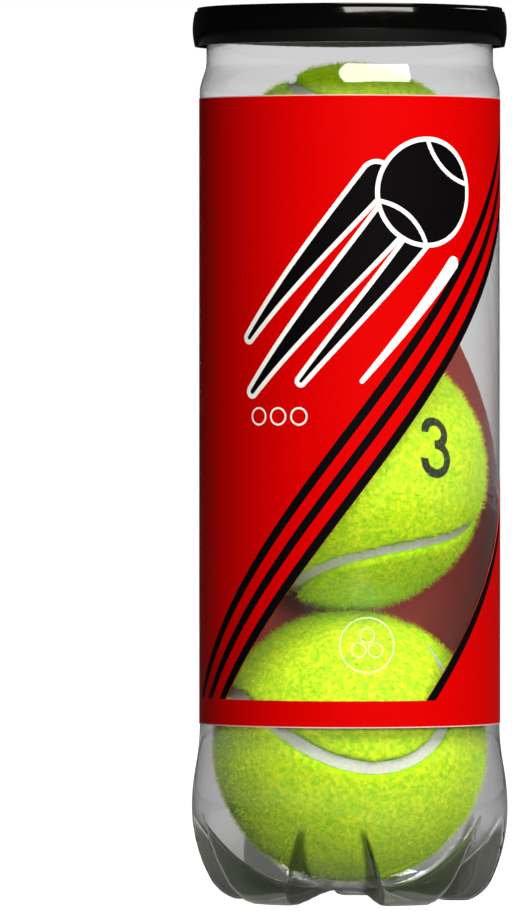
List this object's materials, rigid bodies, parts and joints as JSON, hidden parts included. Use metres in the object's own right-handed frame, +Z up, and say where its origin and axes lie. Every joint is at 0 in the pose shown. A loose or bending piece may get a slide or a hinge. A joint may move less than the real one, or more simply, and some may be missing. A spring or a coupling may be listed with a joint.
{
  "type": "tennis ball can",
  "caption": "Clear round can of stacked felt-covered balls, with a five-footed base, a wrapped label, a ring-pull metal end and a push-on overcap.",
  "frame": {"origin": "centre of the plane that the feet stand on", "axes": "+Z up the can's axis, -Y the front, +X to the right seen from the front"},
  "size_m": [0.0772, 0.0772, 0.2181],
  "materials": {
    "clear_pet": "clear blow-moulded",
    "label_film": "printed gloss film",
    "end_metal": "lacquered sheet",
    "tab_metal": "bright stamped sheet",
    "sealing_compound": "cured compound",
    "lid_plastic": "glossy moulded",
    "ball_rubber": "moulded rubber",
    "ball_felt": "needled felt",
    "seam_cement": "vulcanised cement"
  },
  "bodies": {
    "can": {"can_body": "clear_pet", "printed_label": "label_film", "end_ring": "end_metal", "seam_gasket": "sealing_compound"},
    "lid": {"lid": "lid_plastic"},
    "tear_panel": {"tear_panel": "end_metal", "rivet_tongue": "tab_metal"},
    "pull_tab": {"pull_tab": "tab_metal"},
    "ball_1": {"ball_1_core_half_a": "ball_rubber", "ball_1_core_half_b": "ball_rubber", "ball_1_felt_panel_a": "ball_felt", "ball_1_felt_panel_b": "ball_felt", "ball_1_seam_cement": "seam_cement"},
    "ball_2": {"ball_2_core_half_a": "ball_rubber", "ball_2_core_half_b": "ball_rubber", "ball_2_felt_panel_a": "ball_felt", "ball_2_felt_panel_b": "ball_felt", "ball_2_seam_cement": "seam_cement"},
    "ball_3": {"ball_3_core_half_a": "ball_rubber", "ball_3_core_half_b": "ball_rubber", "ball_3_felt_panel_a": "ball_felt", "ball_3_felt_panel_b": "ball_felt", "ball_3_seam_cement": "seam_cement"}
  },
  "joints": [
    {"name": "lid_lift", "type": "slide", "parent": "can", "child": "lid", "axis": [0, 0, 1], "range_m": [0, 0.36]},
    {"name": "panel_lift", "type": "slide", "parent": "can", "child": "tear_panel", "axis": [0, 0, 1], "range_m": [0, 0.3]},
    {"name": "tab_hinge", "type": "hinge", "parent": "tear_panel", "child": "pull_tab", "pos_m": [0.0295, 0, 0.2128], "axis": [0, 1, 0], "range_deg": [0, 90]},
    {"name": "ball_3_lift", "type": "slide", "parent": "can", "child": "ball_3", "axis": [0, 0, 1], "range_m": [0, 0.27]},
    {"name": "ball_2_lift", "type": "slide", "parent": "can", "child": "ball_2", "axis": [0, 0, 1], "range_m": [0, 0.255]},
    {"name": "ball_1_lift", "type": "slide", "parent": "can", "child": "ball_1", "axis": [0, 0, 1], "range_m": [0, 0.24]}
  ],
  "couplings": [
    {"joint": "panel_lift", "follows": "lid_lift", "ratio": 0.83333},
    {"joint": "tab_hinge", "follows": "lid_lift", "rad_per_m": 4.3633},
    {"joint": "ball_3_lift", "follows": "lid_lift", "ratio": 0.75},
    {"joint": "ball_2_lift", "follows": "lid_lift", "ratio": 0.70833},
    {"joint": "ball_1_lift", "follows": "lid_lift", "ratio": 0.66667}
  ]
}
